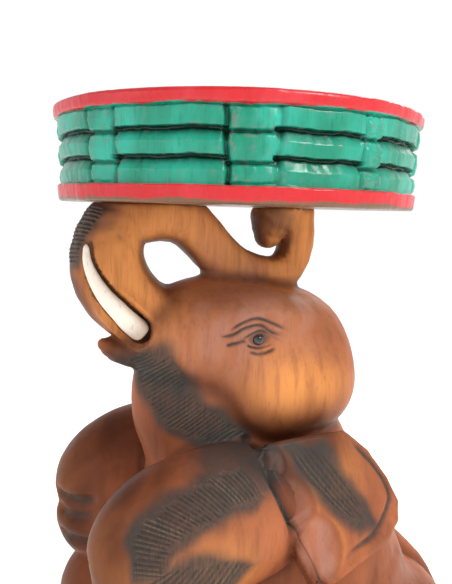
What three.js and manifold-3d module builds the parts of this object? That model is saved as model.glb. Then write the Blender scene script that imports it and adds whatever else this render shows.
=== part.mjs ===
// A carved wooden elephant stand. A seated elephant, carved from one log, throws its head
// back, and its trunk loops up to carry a round seat. The seat is dowelled to the trunk,
// and the tusks and eyes are let into sockets.
//
// Millimetres. +Z is up and the floor is z = 0. The seat's axis is x = y = 0. The elephant
// faces -Y, and +X is its left. The figure is the same on both sides of the x = 0 plane.

import * as THREE from 'three';
import { mergeVertices } from 'three/addons/utils/BufferGeometryUtils.js';
import Module from 'manifold-3d';

const wasm = await Module();
wasm.setup();

// ---------------------------------------------------------------- driving dimensions

const GAP = 0.3; // between pieces that touch

const SEAT_DIAMETER = 300;
const SEAT_THICKNESS = 73;
const SEAT_TAPER = 4.5; // how much smaller the radius is at the bottom
const SEAT_RIM_HEIGHT = 12; // plain rim above and below the carved band
const SEAT_BAND_RECESS = 3;
const SEAT_BAR_COUNT = 3;
const SEAT_GROOVE_DEPTH = 6;
const SEAT_GROOVE_SHARE = 0.16; // of a bar's pitch, on each side of a groove
const SEAT_STEP_RISE = 0.4; // the step between a rim and the band isn't quite level
const SEAT_EDGE_BEVEL = 2;
const SEAT_SIDES = 56;

const SEAT_BOTTOM = 460; // height of the seat's underside
const FIGURE_TOP = SEAT_BOTTOM - GAP;
const BEYOND = 400; // reaches past every side of the figure

const DOWEL_RADIUS = 6;
const DOWEL_LENGTH = 44;
const DOWEL_SIDES = 16;
const DOWEL_END_GAP = 1;
const FRONT_DOWEL_Y = -88;
const MIDDLE_DOWEL_Y = -58;
const TIP_DOWEL_Y = 54;

const TUSK_RADIUS = 8.4;
const TUSK_TIP_RADIUS = 1.9;
const TUSK_THINNING = 1.5; // 1 thins evenly, and more keeps the root stout for longer
const TUSK_SIDES = 10;
const TUSK_STEPS = 9;

const EYE_RADIUS = 5;
const EYE_CENTRE = [61, -2.5, 357.5];

const EAR_THICKNESS = 17;
const EAR_BEVEL = 4;
const EAR_ORIGIN = [72, -6, 282]; // on the ear's inner face, where the ear meets the head
const EAR_OUTWARDS = [1, 0.12, 0.42];

const FIELD_CELL = 14; // grid spacing of the carved body's surface
const FILL_DEPTH = 1; // how far inside a filled grid point counts
const FIELD_LOW = [-189, -168, -56];
const FIELD_HIGH = [189, 252, 420];

const BODY_WOOD = { color: 0x8a4a26, roughness: 0.45, metalness: 0 };
const DOWEL_WOOD = { color: 0xc9a26b, roughness: 0.7, metalness: 0 };
const SEAT_PAINT = { color: 0x1f7f5c, roughness: 0.4, metalness: 0 };
const TUSK_CREAM = { color: 0xe6dcc6, roughness: 0.4, metalness: 0 };
const EYE_GLASS = { color: 0x1c2024, roughness: 0.08, metalness: 0 };

// ---------------------------------------------------------------- closed meshes and solids

// A closed mesh as a solid that can be joined and cut.
function toSolid(geometry) {
  const bare = geometry.clone();
  bare.deleteAttribute('normal');
  bare.deleteAttribute('uv');
  const welded = mergeVertices(bare, 1e-4);
  const index = welded.index.array;
  const kept = [];
  for (let i = 0; i < index.length; i += 3) {
    const [a, b, c] = [index[i], index[i + 1], index[i + 2]];
    if (a !== b && b !== c && c !== a) kept.push(a, b, c);
  }
  const vertProperties = new Float32Array(welded.attributes.position.array);
  const triVerts = new Uint32Array(kept);
  return new wasm.Manifold(new wasm.Mesh({ numProp: 3, vertProperties, triVerts }));
}

function toGeometry(solid) {
  const mesh = solid.getMesh();
  const geometry = new THREE.BufferGeometry();
  geometry.setAttribute('position', new THREE.BufferAttribute(mesh.vertProperties, 3));
  geometry.setIndex(new THREE.BufferAttribute(mesh.triVerts, 1));
  geometry.computeVertexNormals();
  return geometry;
}

// The same closed mesh on the other side of the x = 0 plane, still facing outwards.
function mirrored(geometry) {
  const copy = geometry.index ? geometry.toNonIndexed() : geometry.clone();
  copy.scale(-1, 1, 1);
  const position = copy.attributes.position.array;
  for (let i = 0; i < position.length; i += 9) {
    for (let k = 0; k < 3; k++) {
      [position[i + 3 + k], position[i + 6 + k]] = [position[i + 6 + k], position[i + 3 + k]];
    }
  }
  return copy;
}

function blockBetween(low, high) {
  const size = high.map((value, k) => value - low[k]);
  const box = new THREE.BoxGeometry(...size);
  box.translate(...low.map((value, k) => value + size[k] / 2));
  return box;
}

function uprightCylinder(radius, bottom, top, sides) {
  const cylinder = new THREE.CylinderGeometry(radius, radius, top - bottom, sides);
  cylinder.rotateX(Math.PI / 2);
  cylinder.translate(0, 0, (bottom + top) / 2);
  return cylinder;
}

// A limb of changing thickness along a smooth line through [x, y, z, radius] stations, with
// flat ends. The section is an ellipse, wider across than it is deep by the factor width.
function taperedSweep(stations, { width = 1, sides, steps, grow = 0 }) {
  const line = new THREE.CatmullRomCurve3(stations.map(([x, y, z]) => new THREE.Vector3(x, y, z)));
  const across = new THREE.Vector3(1, 0, 0);
  const position = [];
  for (let i = 0; i <= steps; i++) {
    const at = (i / steps) * (stations.length - 1);
    const low = Math.min(Math.floor(at), stations.length - 2);
    const radius = THREE.MathUtils.lerp(stations[low][3], stations[low + 1][3], at - low) + grow;
    const centre = line.getPoint(i / steps);
    const depth = line.getTangent(i / steps).cross(across).normalize();
    for (let k = 0; k < sides; k++) {
      const turn = (k / sides) * 2 * Math.PI;
      const corner = centre.clone();
      corner.addScaledVector(across, Math.cos(turn) * radius * width);
      corner.addScaledVector(depth, Math.sin(turn) * radius);
      position.push(...corner.toArray());
    }
  }
  const index = [];
  for (let i = 0; i < steps; i++) {
    for (let k = 0; k < sides; k++) {
      const next = (k + 1) % sides;
      const [a, b] = [i * sides + k, i * sides + next];
      index.push(a, b, a + sides, b, b + sides, a + sides);
    }
  }
  const last = steps * sides;
  for (let k = 1; k < sides - 1; k++) {
    index.push(0, k + 1, k);
    index.push(last, last + k, last + k + 1);
  }
  const geometry = new THREE.BufferGeometry();
  geometry.setAttribute('position', new THREE.Float32BufferAttribute(position, 3));
  geometry.setIndex(index);
  return geometry;
}

// ---------------------------------------------------------------- the carved body as a field
// Each mass is a signed distance function: negative inside, positive outside. Masses are
// given for the elephant's left side, and the field repeats them on its right side.

function ellipsoid(centre, radii, pitch = 0) {
  const [sin, cos] = [Math.sin(THREE.MathUtils.degToRad(pitch)), Math.cos(THREE.MathUtils.degToRad(pitch))];
  return ([x, y, z]) => {
    const [dx, dy, dz] = [x - centre[0], y - centre[1], z - centre[2]];
    const [qx, qy, qz] = [dx / radii[0], (dy * cos + dz * sin) / radii[1], (dz * cos - dy * sin) / radii[2]];
    const length = Math.hypot(qx, qy, qz);
    const slope = Math.hypot(qx / radii[0], qy / radii[1], qz / radii[2]);
    return (length * (length - 1)) / Math.max(slope, 1e-9);
  };
}

// A chain of cones with round ends through [x, y, z, radius] stations.
function limb(stations, width = 1) {
  return ([x, y, z]) => {
    let nearest = Infinity;
    for (let i = 0; i < stations.length - 1; i++) {
      const [from, to] = [stations[i], stations[i + 1]];
      const leg = [(to[0] - from[0]) / width, to[1] - from[1], to[2] - from[2]];
      const point = [(x - from[0]) / width, y - from[1], z - from[2]];
      const along = point[0] * leg[0] + point[1] * leg[1] + point[2] * leg[2];
      const part = THREE.MathUtils.clamp(along / (leg[0] ** 2 + leg[1] ** 2 + leg[2] ** 2), 0, 1);
      const away = Math.hypot(...point.map((value, k) => value - leg[k] * part));
      nearest = Math.min(nearest, away - THREE.MathUtils.lerp(from[3], to[3], part));
    }
    return nearest;
  };
}

// Joins masses in turn. Each one comes with the width of the soft fillet where it meets the rest.
function blend(first, ...others) {
  return (point) => {
    let distance = first(point);
    for (const [mass, fillet] of others) {
      const other = mass(point);
      const share = THREE.MathUtils.clamp(0.5 + (other - distance) / (2 * fillet), 0, 1);
      distance = THREE.MathUtils.lerp(other, distance, share) - fillet * share * (1 - share);
    }
    return distance;
  };
}

const torso = blend(
  ellipsoid([0, 45, 140], [88, 100, 120], 12),
  [ellipsoid([0, 118, 60], [118, 112, 86]), 25],
  [ellipsoid([0, 20, 16], [74, 92, 54]), 16],
  [limb([[0, 48, 265, 52], [0, 64, 205, 66], [0, 84, 140, 82]], 1.1), 25],
  [ellipsoid([0, -15, 215], [66, 58, 92]), 18],
  [ellipsoid([0, -14, 306], [47, 72, 88], -6), 12],
);

const head = blend(
  ellipsoid([0, 51, 329], [64, 57, 61]),
  [ellipsoid([0, 0, 345], [62, 84, 57], -8), 20],
  [ellipsoid([28, 38, 312], [46, 62, 48]), 14],
  [ellipsoid([42, 2, 372], [24, 44, 18]), 16],
  [ellipsoid([0, -54, 354], [42, 40, 28], 25), 20],
);

const foreleg = blend(
  ellipsoid([74, -60, 216], [50, 78, 57], 16),
  [ellipsoid([66, -12, 222], [46, 58, 52]), 20],
  [limb([[76, -86, 205, 44], [76, -90, 188, 40], [76, -92, 174, 43]]), 6],
);

const hindLeg = blend(
  limb([[92, 110, 66, 62], [104, 30, 76, 58], [104, -46, 82, 54], [100, -78, 84, 50]]),
  [limb([[96, 90, 40, 50], [98, -40, 34, 46]]), 16],
  [limb([[100, -74, 78, 48], [100, -80, 45, 46], [100, -86, 14, 50]]), 8],
);

const leftHalf = blend(torso, [head, 12], [foreleg, 12], [hindLeg, 14]);
const carvedBody = ([x, y, z]) => leftHalf([Math.abs(x), y, z]);

// The field's zero surface as a closed mesh: one vertex in each grid cell that the surface
// crosses, drawn onto the surface, and one quad across each grid edge that it crosses.
function fieldSurface(field, low, high, cell) {
  const count = low.map((value, k) => Math.round((high[k] - value) / cell) + 1);
  const stride = [1, count[0], count[0] * count[1]];
  const at = (i, j, k) => [low[0] + i * cell, low[1] + j * cell, low[2] + k * cell];
  const values = new Float32Array(count[0] * count[1] * count[2]);
  for (let k = 0; k < count[2]; k++) {
    for (let j = 0; j < count[1]; j++) {
      for (let i = 0; i < count[0]; i++) {
        values[i + j * stride[1] + k * stride[2]] = field(at(i, j, k));
      }
    }
  }
  fillPinches(values, count, stride);

  const position = [];
  const vertexOf = new Map();
  for (let k = 0; k < count[2] - 1; k++) {
    for (let j = 0; j < count[1] - 1; j++) {
      for (let i = 0; i < count[0] - 1; i++) {
        const crossing = cellCrossing(values, i + j * stride[1] + k * stride[2], stride);
        if (!crossing) continue;
        vertexOf.set(i + j * stride[1] + k * stride[2], position.length / 3);
        const point = at(i + crossing[0], j + crossing[1], k + crossing[2]);
        position.push(...drawnOnto(field, point, cell));
      }
    }
  }

  const index = [];
  for (let k = 1; k < count[2] - 1; k++) {
    for (let j = 1; j < count[1] - 1; j++) {
      for (let i = 1; i < count[0] - 1; i++) {
        const here = i + j * stride[1] + k * stride[2];
        for (let axis = 0; axis < 3; axis++) {
          const [inside, nextInside] = [values[here] < 0, values[here + stride[axis]] < 0];
          if (inside === nextInside) continue;
          const [u, v] = [stride[(axis + 1) % 3], stride[(axis + 2) % 3]];
          const ring = [here, here - u, here - u - v, here - v].map((key) => vertexOf.get(key));
          if (!inside) ring.reverse();
          index.push(...splitQuad(position, ring));
        }
      }
    }
  }
  const geometry = new THREE.BufferGeometry();
  geometry.setAttribute('position', new THREE.Float32BufferAttribute(position, 3));
  geometry.setIndex(index);
  return geometry;
}

// Corner c of a cell lies one step along axis k where bit k of c is set.
const CELL_CORNERS = [0, 1, 2, 3, 4, 5, 6, 7];

function hangTogether(corners) {
  const reached = corners.slice(0, 1);
  for (const corner of reached) {
    for (const bit of [1, 2, 4]) {
      const next = corner ^ bit;
      if (corners.includes(next) && !reached.includes(next)) reached.push(next);
    }
  }
  return reached.length === corners.length;
}

// Fills grid points until, in every cell, the inside corners hang together along the cell's
// edges and so do the outside corners. The surface then nowhere touches itself.
function fillPinches(values, count, stride) {
  let filled = true;
  while (filled) {
    filled = false;
    for (let k = 0; k < count[2] - 1; k++) {
      for (let j = 0; j < count[1] - 1; j++) {
        for (let i = 0; i < count[0] - 1; i++) {
          const here = i + j * stride[1] + k * stride[2];
          const keyOf = (c) => here + (c & 1) + ((c >> 1) & 1) * stride[1] + (c >> 2) * stride[2];
          const inside = CELL_CORNERS.filter((c) => values[keyOf(c)] < 0);
          const outside = CELL_CORNERS.filter((c) => values[keyOf(c)] >= 0);
          if (hangTogether(inside) && hangTogether(outside)) continue;
          const nearest = outside.sort((c, d) => values[keyOf(c)] - values[keyOf(d)])[0];
          values[keyOf(nearest)] = -FILL_DEPTH;
          filled = true;
        }
      }
    }
  }
}

// The mean of the points where the surface crosses a cell's twelve edges, in cell units.
function cellCrossing(values, corner, stride) {
  const sum = [0, 0, 0];
  let crossings = 0;
  for (let axis = 0; axis < 3; axis++) {
    const [u, v] = [(axis + 1) % 3, (axis + 2) % 3];
    for (const [du, dv] of [[0, 0], [1, 0], [0, 1], [1, 1]]) {
      const start = corner + du * stride[u] + dv * stride[v];
      const [a, b] = [values[start], values[start + stride[axis]]];
      if (a < 0 === b < 0) continue;
      sum[axis] += a / (a - b);
      sum[u] += du;
      sum[v] += dv;
      crossings += 1;
    }
  }
  return crossings ? sum.map((value) => value / crossings) : null;
}

function drawnOnto(field, start, cell) {
  const point = [...start];
  const step = cell * 0.05;
  for (let round = 0; round < 3; round++) {
    const distance = field(point);
    const slope = point.map((_, k) => {
      const [ahead, behind] = [[...point], [...point]];
      ahead[k] += step;
      behind[k] -= step;
      return (field(ahead) - field(behind)) / (2 * step);
    });
    const steepness = Math.max(Math.hypot(...slope), 0.5);
    for (let k = 0; k < 3; k++) {
      const moved = point[k] - (distance * slope[k]) / steepness ** 2;
      point[k] = THREE.MathUtils.clamp(moved, start[k] - cell * 0.3, start[k] + cell * 0.3);
    }
  }
  return point;
}

// Two triangles for a quad, split along its shorter diagonal.
function splitQuad(position, [a, b, c, d]) {
  const span = (p, q) =>
    Math.hypot(...[0, 1, 2].map((k) => position[3 * p + k] - position[3 * q + k]));
  return span(a, c) <= span(b, d) ? [a, b, c, a, c, d] : [a, b, d, b, c, d];
}

// ---------------------------------------------------------------- trunk, lip, ears, tail

const TRUNK_STATIONS = [
  [0, -40, 351, 25],
  [0, -70, 367, 27],
  [0, -98, 388, 30],
  [0, -109, 418, 29],
  [0, -97, 446, 25],
  [0, -64, 452, 22],
  [0, -40, 444, 20],
  [0, -22, 426, 19],
  [0, 1, 409, 17.5],
  [0, 30, 402, 16],
  [0, 50, 409, 15],
  [0, 58, 430, 15],
  [0, 56, 450, 16.5],
  [0, 54, 470, 18],
];

const TRUNK_TIP_STATIONS = [
  [0, 42, 470, 20],
  [0, 34, 452, 17],
  [0, 31, 436, 11],
];

const LIP_STATIONS = [
  [0, -46, 338, 21],
  [0, -78, 336, 16],
  [0, -98, 337, 11],
  [0, -113, 343, 4],
];

const TAIL_STATIONS = [
  [0, 158, 156, 11],
  [1, 206, 112, 9],
  [10, 228, 68, 7],
  [20, 224, 28, 11],
];

// The ear's outline, in its own plane: backwards and upwards from EAR_ORIGIN.
const EAR_OUTLINE = [
  [-4, -6],
  [35, -4],
  [72, -4],
  [93, -22],
  [109, -46],
  [117, -66],
  [112, -81],
  [99, -92],
  [79, -100],
  [57, -107],
  [36, -114],
  [22, -112],
  [15, -93],
  [4, -60],
  [0, -47],
  [-8, -35],
  [-10, -18],
];

function leftEar() {
  const outline = new THREE.Shape(EAR_OUTLINE.map(([back, up]) => new THREE.Vector2(back, up)));
  const flap = new THREE.ExtrudeGeometry(outline, {
    depth: EAR_THICKNESS - 2 * EAR_BEVEL,
    bevelThickness: EAR_BEVEL,
    bevelSize: EAR_BEVEL,
    bevelOffset: -EAR_BEVEL,
    bevelSegments: 2,
  });
  const outwards = new THREE.Vector3(...EAR_OUTWARDS).normalize();
  const backwards = new THREE.Vector3(0, 0, 1).cross(outwards).normalize();
  const upwards = outwards.clone().cross(backwards);
  const place = new THREE.Matrix4().makeBasis(backwards, upwards, outwards);
  place.setPosition(...EAR_ORIGIN);
  return flap.applyMatrix4(place);
}

// ---------------------------------------------------------------- tusks, eyes and dowels

const TUSK_STATIONS = [
  [24, -87, 361],
  [29, -97, 369],
  [31, -106, 378],
  [30, -116, 389],
  [28, -124, 402],
  [27, -129, 415],
  [26, -130, 428],
];

// A tusk thins towards its tip. Its root end sits in the cheek.
function leftTusk(grow = 0) {
  const last = TUSK_STATIONS.length - 1;
  const stations = TUSK_STATIONS.map(([x, y, z], i) => {
    const radius = THREE.MathUtils.lerp(TUSK_RADIUS, TUSK_TIP_RADIUS, (i / last) ** TUSK_THINNING);
    return [x, y, z, radius];
  });
  return taperedSweep(stations, { sides: TUSK_SIDES, steps: TUSK_STEPS, grow });
}

function leftEye(grow = 0) {
  const bead = new THREE.SphereGeometry(EYE_RADIUS + grow, 14, 8);
  return bead.translate(...EYE_CENTRE);
}

function dowel(y) {
  const half = DOWEL_LENGTH / 2;
  const pin = uprightCylinder(DOWEL_RADIUS, SEAT_BOTTOM - half, SEAT_BOTTOM + half, DOWEL_SIDES);
  return pin.translate(0, y, 0);
}

function dowelBore(y) {
  const half = DOWEL_LENGTH / 2 + DOWEL_END_GAP;
  const bore = uprightCylinder(DOWEL_RADIUS + GAP, SEAT_BOTTOM - half, SEAT_BOTTOM + half, DOWEL_SIDES);
  return bore.translate(0, y, 0);
}

const DOWELS = {
  front_dowel: FRONT_DOWEL_Y,
  middle_dowel: MIDDLE_DOWEL_Y,
  trunk_tip_dowel: TIP_DOWEL_Y,
};

// ---------------------------------------------------------------- the two wooden pieces

function carvedElephant() {
  let figure = toSolid(fieldSurface(carvedBody, FIELD_LOW, FIELD_HIGH, FIELD_CELL));
  const additions = [
    taperedSweep(TRUNK_STATIONS, { width: 1.25, sides: 14, steps: 38 }),
    taperedSweep(TRUNK_TIP_STATIONS, { width: 1.3, sides: 12, steps: 5 }),
    taperedSweep(LIP_STATIONS, { width: 1.5, sides: 10, steps: 6 }),
    taperedSweep(TAIL_STATIONS, { sides: 8, steps: 9 }),
    leftEar(),
    mirrored(leftEar()),
  ];
  for (const addition of additions) figure = figure.add(toSolid(addition));

  const cuts = [
    blockBetween([-BEYOND, -BEYOND, -BEYOND], [BEYOND, BEYOND, 0]),
    blockBetween([-BEYOND, -BEYOND, FIGURE_TOP], [BEYOND, BEYOND, FIGURE_TOP + BEYOND]),
    leftTusk(GAP),
    mirrored(leftTusk(GAP)),
    leftEye(GAP),
    mirrored(leftEye(GAP)),
    ...Object.values(DOWELS).map(dowelBore),
  ];
  for (const cut of cuts) figure = figure.subtract(toSolid(cut));
  return toGeometry(figure);
}

// The seat's outer wall narrows downwards.
function seatWall(height) {
  return SEAT_DIAMETER / 2 - SEAT_TAPER * (1 - height / SEAT_THICKNESS);
}

// The wall's outline, from the underside's middle to the top's: rims, bars and grooves.
function seatOutline() {
  const bandHeight = SEAT_THICKNESS - 2 * SEAT_RIM_HEIGHT;
  const barPitch = bandHeight / SEAT_BAR_COUNT;
  const grooveHalf = barPitch * SEAT_GROOVE_SHARE;
  const outline = [
    [0, 0],
    [seatWall(0) - SEAT_EDGE_BEVEL, 0],
    [seatWall(SEAT_EDGE_BEVEL), SEAT_EDGE_BEVEL],
    [seatWall(SEAT_RIM_HEIGHT), SEAT_RIM_HEIGHT],
  ];
  for (let bar = 0; bar < SEAT_BAR_COUNT; bar++) {
    const isLast = bar === SEAT_BAR_COUNT - 1;
    const from = SEAT_RIM_HEIGHT + bar * barPitch + (bar ? grooveHalf : SEAT_STEP_RISE);
    const groove = SEAT_RIM_HEIGHT + (bar + 1) * barPitch;
    const to = groove - (isLast ? SEAT_STEP_RISE : grooveHalf);
    outline.push([seatWall(from) - SEAT_BAND_RECESS, from], [seatWall(to) - SEAT_BAND_RECESS, to]);
    if (!isLast) outline.push([seatWall(groove) - SEAT_BAND_RECESS - SEAT_GROOVE_DEPTH, groove]);
  }
  const upperRim = SEAT_THICKNESS - SEAT_RIM_HEIGHT;
  const upperEdge = SEAT_THICKNESS - SEAT_EDGE_BEVEL;
  outline.push(
    [seatWall(upperRim), upperRim],
    [seatWall(upperEdge), upperEdge],
    [seatWall(SEAT_THICKNESS) - SEAT_EDGE_BEVEL, SEAT_THICKNESS],
    [0, SEAT_THICKNESS],
  );
  return outline.map(([radius, height]) => new THREE.Vector2(radius, height));
}

function carvedSeat() {
  const turned = new THREE.LatheGeometry(seatOutline(), SEAT_SIDES);
  turned.rotateX(Math.PI / 2);
  turned.translate(0, 0, SEAT_BOTTOM);
  let seat = toSolid(turned);
  for (const y of Object.values(DOWELS)) seat = seat.subtract(toSolid(dowelBore(y)));
  return toGeometry(seat);
}

// ---------------------------------------------------------------- assembly

function piece(name, geometry, look) {
  const mesh = new THREE.Mesh(geometry, new THREE.MeshStandardMaterial(look));
  mesh.name = name;
  return mesh;
}

const stand = new THREE.Group();
stand.name = 'elephant_stand';
stand.add(piece('carved_elephant', carvedElephant(), BODY_WOOD));
stand.add(piece('seat_drum', carvedSeat(), SEAT_PAINT));
stand.add(piece('left_tusk', leftTusk(), TUSK_CREAM));
stand.add(piece('right_tusk', mirrored(leftTusk()), TUSK_CREAM));
stand.add(piece('left_eye', leftEye(), EYE_GLASS));
stand.add(piece('right_eye', mirrored(leftEye()), EYE_GLASS));
for (const [name, y] of Object.entries(DOWELS)) stand.add(piece(name, dowel(y), DOWEL_WOOD));

export default stand;
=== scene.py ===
"""A carved wooden elephant stand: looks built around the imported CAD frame.

The carved figure is sculpted as a signed distance field, meshed, refined where the knife
worked, and cut with hatching, eyelids and ear grooves. The seat's carved band, the tusks and
the eyes are meshes of their own. Lengths in this script are millimetres until the meshes are
built in metres. The elephant faces -Y, +X is its left, and the seat's axis is x = y = 0.
"""

import math

import bmesh
import bpy
import numpy as np
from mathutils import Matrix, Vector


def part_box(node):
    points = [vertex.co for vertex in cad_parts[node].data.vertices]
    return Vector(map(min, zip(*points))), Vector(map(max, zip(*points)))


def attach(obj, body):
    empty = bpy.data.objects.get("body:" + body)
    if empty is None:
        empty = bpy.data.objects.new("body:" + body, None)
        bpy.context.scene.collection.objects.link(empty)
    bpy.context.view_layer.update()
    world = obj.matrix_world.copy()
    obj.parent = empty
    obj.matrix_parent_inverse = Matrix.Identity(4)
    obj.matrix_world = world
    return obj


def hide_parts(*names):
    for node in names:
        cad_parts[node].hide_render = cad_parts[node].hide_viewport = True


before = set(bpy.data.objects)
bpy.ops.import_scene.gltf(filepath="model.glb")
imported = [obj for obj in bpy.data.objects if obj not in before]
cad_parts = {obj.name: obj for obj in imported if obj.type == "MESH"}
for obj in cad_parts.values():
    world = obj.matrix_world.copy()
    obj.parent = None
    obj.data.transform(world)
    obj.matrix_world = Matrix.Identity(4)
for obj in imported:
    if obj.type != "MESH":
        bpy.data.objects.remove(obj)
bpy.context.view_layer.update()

import openvdb
from mathutils import Matrix, Vector, noise

MM = 0.001

# ---- sizes from the frame


def box_mm(node):
    low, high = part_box(node)
    return np.array(low) / MM, np.array(high) / MM


SEAT_LOW, SEAT_HIGH = box_mm("seat_drum")
SEAT_BOTTOM = SEAT_LOW[2]
SEAT_THICKNESS = SEAT_HIGH[2] - SEAT_LOW[2]
SEAT_RADIUS = (SEAT_HIGH[0] - SEAT_LOW[0]) / 2
FIGURE_TOP = box_mm("carved_elephant")[1][2]
EYE_LOW, EYE_HIGH = box_mm("left_eye")
EYE_CENTRE = (EYE_LOW + EYE_HIGH) / 2
EYE_RADIUS = (EYE_HIGH[0] - EYE_LOW[0]) / 2

# ---- small helpers


def smoothstep(low, high, value):
    part = np.clip((value - low) / (high - low), 0, 1)
    return part * part * (3 - 2 * part)


def linear(red, green, blue):
    """An sRGB colour, 0 to 255, as linear values."""
    values = np.array([red, green, blue]) / 255
    return tuple(np.where(values <= 0.04045, values / 12.92, ((values + 0.055) / 1.055) ** 2.4))


def smooth_line(points, step=1.0):
    """Points along a smooth line through given ones. Extra columns, such as radii, go along."""
    points = np.array(points, float)
    ends = np.vstack([2 * points[0] - points[1], points, 2 * points[-1] - points[-2]])
    line = []
    for before, start, stop, after in zip(ends[:-3], ends[1:-2], ends[2:-1], ends[3:]):
        count = max(2, int(np.linalg.norm((stop - start)[:3]) / step))
        for t in np.linspace(0, 1, count, endpoint=False):
            bend = (2 * before - 5 * start + 4 * stop - after) * t * t
            twist = (3 * start - before - 3 * stop + after) * t**3
            line.append(0.5 * (2 * start + (stop - before) * t + bend + twist))
    line.append(points[-1])
    return np.array(line)


def travel(line):
    """How far along a line each of its points lies."""
    return np.concatenate([[0], np.cumsum(np.linalg.norm(np.diff(line, axis=0), axis=1))])


def wander(values, scale, seed):
    """Smooth noise from -1 to 1 along a line of values."""
    return np.array([noise.noise(Vector((v * scale, seed * 7.3, 1.7))) for v in values])


def rough(points, scale, seed):
    """Smooth noise from -1 to 1 at each 3-D point."""
    shift = seed * 13.7
    return np.array([noise.noise(Vector(p) * scale + Vector((shift, 0, 0))) for p in points])


# ---- the figure as a field
# A mass is (distance, low corner, high corner). Distances are negative inside.

FAR = 60.0


class Space:
    """The points at which the field is worked out: a grid, or a plain list of points."""

    def __init__(self, x, y, z):
        self.x, self.y, self.z = x, y, z
        self.shape = np.broadcast(x, y, z).shape

    def near(self, low, high):
        """Which points lie in a box, as an index, and those points."""
        if self.x.ndim == 3:
            axes = (self.x.ravel(), self.y.ravel(), self.z.ravel())
            cut = tuple(slice(*np.searchsorted(a, (l, h))) for a, l, h in zip(axes, low, high))
            return cut, Space(self.x[cut[0]], self.y[:, cut[1]], self.z[:, :, cut[2]])
        inside = (self.x > low[0]) & (self.x < high[0]) & (self.y > low[1]) & (self.y < high[1])
        inside &= (self.z > low[2]) & (self.z < high[2])
        return inside, Space(self.x[inside], self.y[inside], self.z[inside])


PLANED_EDGE = 3.5


def smooth_min(first, second, fillet):
    share = np.clip(0.5 + (second - first) / (2 * fillet), 0, 1)
    return second + (first - second) * share - fillet * share * (1 - share)


def ellipsoid(centre, radii, pitch=0.0):
    sin, cos = math.sin(math.radians(pitch)), math.cos(math.radians(pitch))
    rx, ry, rz = radii

    def distance(space):
        dx, dy, dz = space.x - centre[0], space.y - centre[1], space.z - centre[2]
        qx, qy, qz = dx / rx, (dy * cos + dz * sin) / ry, (dz * cos - dy * sin) / rz
        length = np.sqrt(qx * qx + qy * qy + qz * qz)
        slope = np.sqrt((qx / rx) ** 2 + (qy / ry) ** 2 + (qz / rz) ** 2)
        return length * (length - 1) / np.maximum(slope, 1e-9)

    reach = np.array([rx, max(ry, rz) if pitch else ry, max(ry, rz) if pitch else rz])
    return distance, np.array(centre) - reach, np.array(centre) + reach


def limb(stations, width=1.0, smooth=True, flat=9.0):
    """Cones with round ends along a line of (x, y, z, radius), wider across by a factor.

    The sides are planed off at flat times the half-width.
    """
    line = np.array(stations, float)
    if smooth:
        line = smooth_line(line, step=9.0)
    reach = line[:, 3:4] * np.array([width, 1, 1])

    def distance(space):
        nearest = np.full(space.shape, FAR, np.float32)
        for start, stop in zip(line[:-1], line[1:]):
            leg = (stop - start)[:3] / [width, 1, 1]
            px, py, pz = (space.x - start[0]) / width, space.y - start[1], space.z - start[2]
            along = np.clip((px * leg[0] + py * leg[1] + pz * leg[2]) / (leg @ leg), 0, 1)
            away = np.sqrt((px - leg[0] * along) ** 2 + (py - leg[1] * along) ** 2
                           + (pz - leg[2] * along) ** 2)
            radius = start[3] + (stop[3] - start[3]) * along
            side = np.abs(px - leg[0] * along) - flat * radius
            nearest = np.minimum(nearest, -smooth_min(radius - away, -side, PLANED_EDGE))
        return nearest

    return distance, (line[:, :3] - reach).min(0), (line[:, :3] + reach).max(0)


def outline_distance(u, v, outline):
    """Distance to a closed outline in a plane, negative inside it."""
    outline = np.array(outline, float)
    nearest, sign = np.full(u.shape, 1e9), np.ones(u.shape)
    for (u0, v0), (u1, v1) in zip(outline, np.roll(outline, 1, 0)):
        eu, ev, wu, wv = u1 - u0, v1 - v0, u - u0, v - v0
        part = np.clip((wu * eu + wv * ev) / (eu * eu + ev * ev), 0, 1)
        nearest = np.minimum(nearest, (wu - eu * part) ** 2 + (wv - ev * part) ** 2)
        above, below, left = v >= v0, v < v1, eu * wv > ev * wu
        sign = np.where((above & below & left) | (~above & ~below & ~left), -sign, sign)
    return sign * np.sqrt(nearest)


# The ear lies in a tilted plane: backwards, downwards and outwards from EAR_ORIGIN.
EAR_ORIGIN = np.array([80.0, -5.0, 285.0])
EAR_OUT = np.array([1.0, 0.12, 0.42]) / np.linalg.norm([1.0, 0.12, 0.42])
EAR_BACK = np.cross([0.0, 0.0, 1.0], EAR_OUT)
EAR_BACK /= np.linalg.norm(EAR_BACK)
EAR_DOWN = np.cross(EAR_BACK, EAR_OUT)
EAR_OUTLINE = [
    (-4, 6), (35, 4), (72, 4), (93, 22), (109, 46), (117, 66), (112, 81), (99, 92), (79, 100),
    (57, 107), (36, 114), (22, 112), (15, 93), (4, 60), (0, 47), (-8, 35), (-10, 18),
]


def ear_place(space):
    """Backwards, downwards and outwards of a point in the ear's own plane."""
    x, y, z = space.x - EAR_ORIGIN[0], space.y - EAR_ORIGIN[1], space.z - EAR_ORIGIN[2]
    return [x * axis[0] + y * axis[1] + z * axis[2] for axis in (EAR_BACK, EAR_DOWN, EAR_OUT)]


EAR_BOW, EAR_BOW_MIDDLE, EAR_BOW_SPAN, EAR_SET_IN = 7, 50, 70, 6
EAR_THICKNESS, EAR_EDGE = 18.0, 4.0
EAR_LOW, EAR_HIGH = np.array([30.0, -35.0, 150.0]), np.array([150.0, 130.0, 315.0])


def ear_bow(back):
    """How far the flap bows outwards."""
    return EAR_BOW * (1 - ((back - EAR_BOW_MIDDLE) / EAR_BOW_SPAN) ** 2) - EAR_SET_IN


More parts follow.
